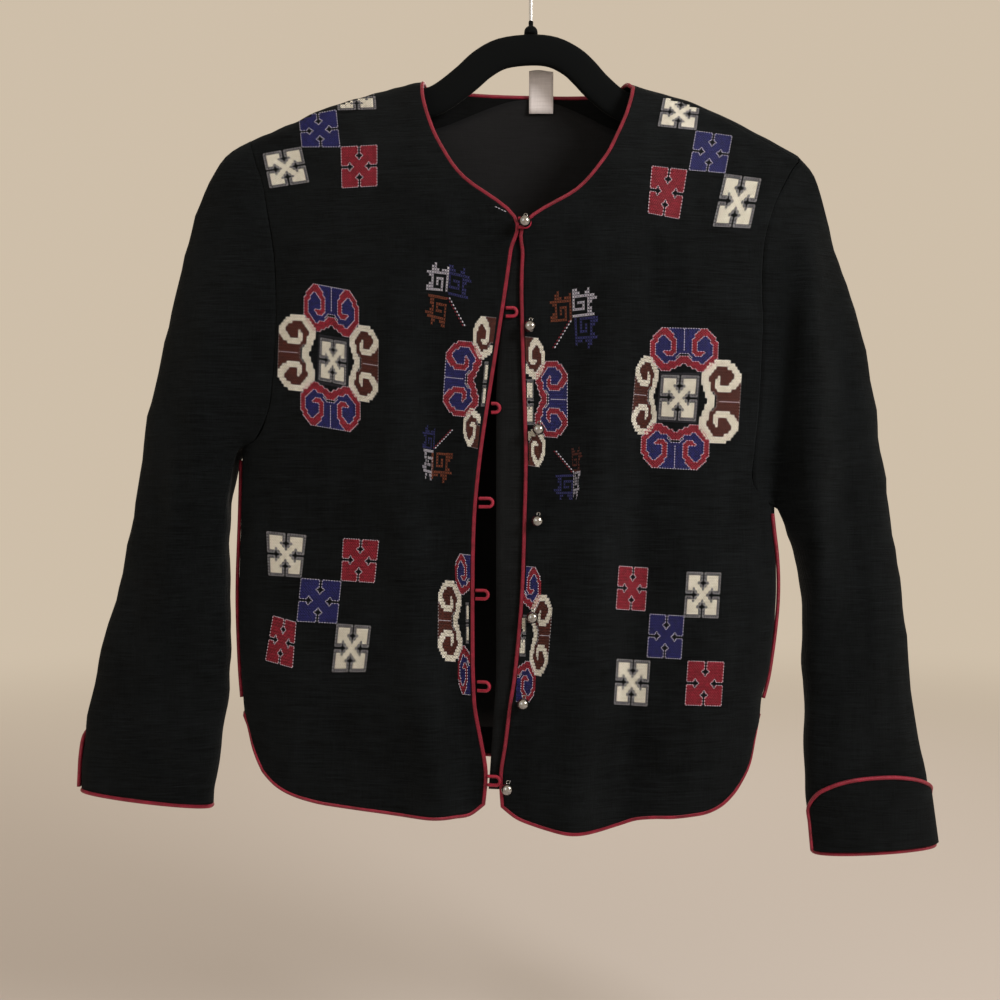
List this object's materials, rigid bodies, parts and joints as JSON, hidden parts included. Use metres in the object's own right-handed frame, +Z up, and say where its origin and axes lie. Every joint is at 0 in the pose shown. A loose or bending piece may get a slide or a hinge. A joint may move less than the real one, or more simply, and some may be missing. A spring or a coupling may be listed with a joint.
{
  "type": "embroidered jacket on hanger",
  "caption": "Open-front black cloth jacket with cross-stitch medallions, corded crimson edges and ball buttons, hung on a velvet hanger.",
  "frame": {"origin": "the inside of the hook's bend, at its top, where the hanger rests on a rail", "axes": "+Z up, +Y toward the jacket's back, +X toward the wearer's left (the viewer's right), the fronts facing -Y"},
  "size_m": [0.697, 0.1031, 0.7702],
  "materials": {
    "black_hemp": "slubby hand-woven hemp or cotton, matt",
    "charcoal_lining": "smooth woven lining",
    "crimson_cord": "corded crimson piping",
    "silver": "polished white metal",
    "black_velvet": "flocked black velvet",
    "steel_wire": "plated steel wire",
    "white_tape": "white woven tape, blank"
  },
  "bodies": {
    "root": {"front_right": "black_hemp", "front_left": "black_hemp", "back": "black_hemp", "sleeve_right": "black_hemp", "sleeve_left": "black_hemp", "cuff_right": "black_hemp", "cuff_left": "black_hemp", "button_underlap": "black_hemp", "back_lining": "charcoal_lining", "neck_label": "white_tape", "edge_cord": "crimson_cord", "back_hem_cord": "crimson_cord", "side_cord_right": "crimson_cord", "side_cord_left": "crimson_cord", "cuff_cord_right": "crimson_cord", "cuff_cord_left": "crimson_cord", "sleeve_cord_right": "crimson_cord", "sleeve_cord_left": "crimson_cord", "button_loop_1": "crimson_cord", "button_loop_2": "crimson_cord", "button_loop_3": "crimson_cord", "button_loop_4": "crimson_cord", "button_loop_5": "crimson_cord", "button_loop_6": "crimson_cord", "button_loop_7": "crimson_cord", "ball_button_1": "silver", "ball_button_2": "silver", "ball_button_3": "silver", "ball_button_4": "silver", "ball_button_5": "silver", "ball_button_6": "silver", "ball_button_7": "silver", "hanger": "black_velvet", "hook": "steel_wire"}
  },
  "joints": []
}
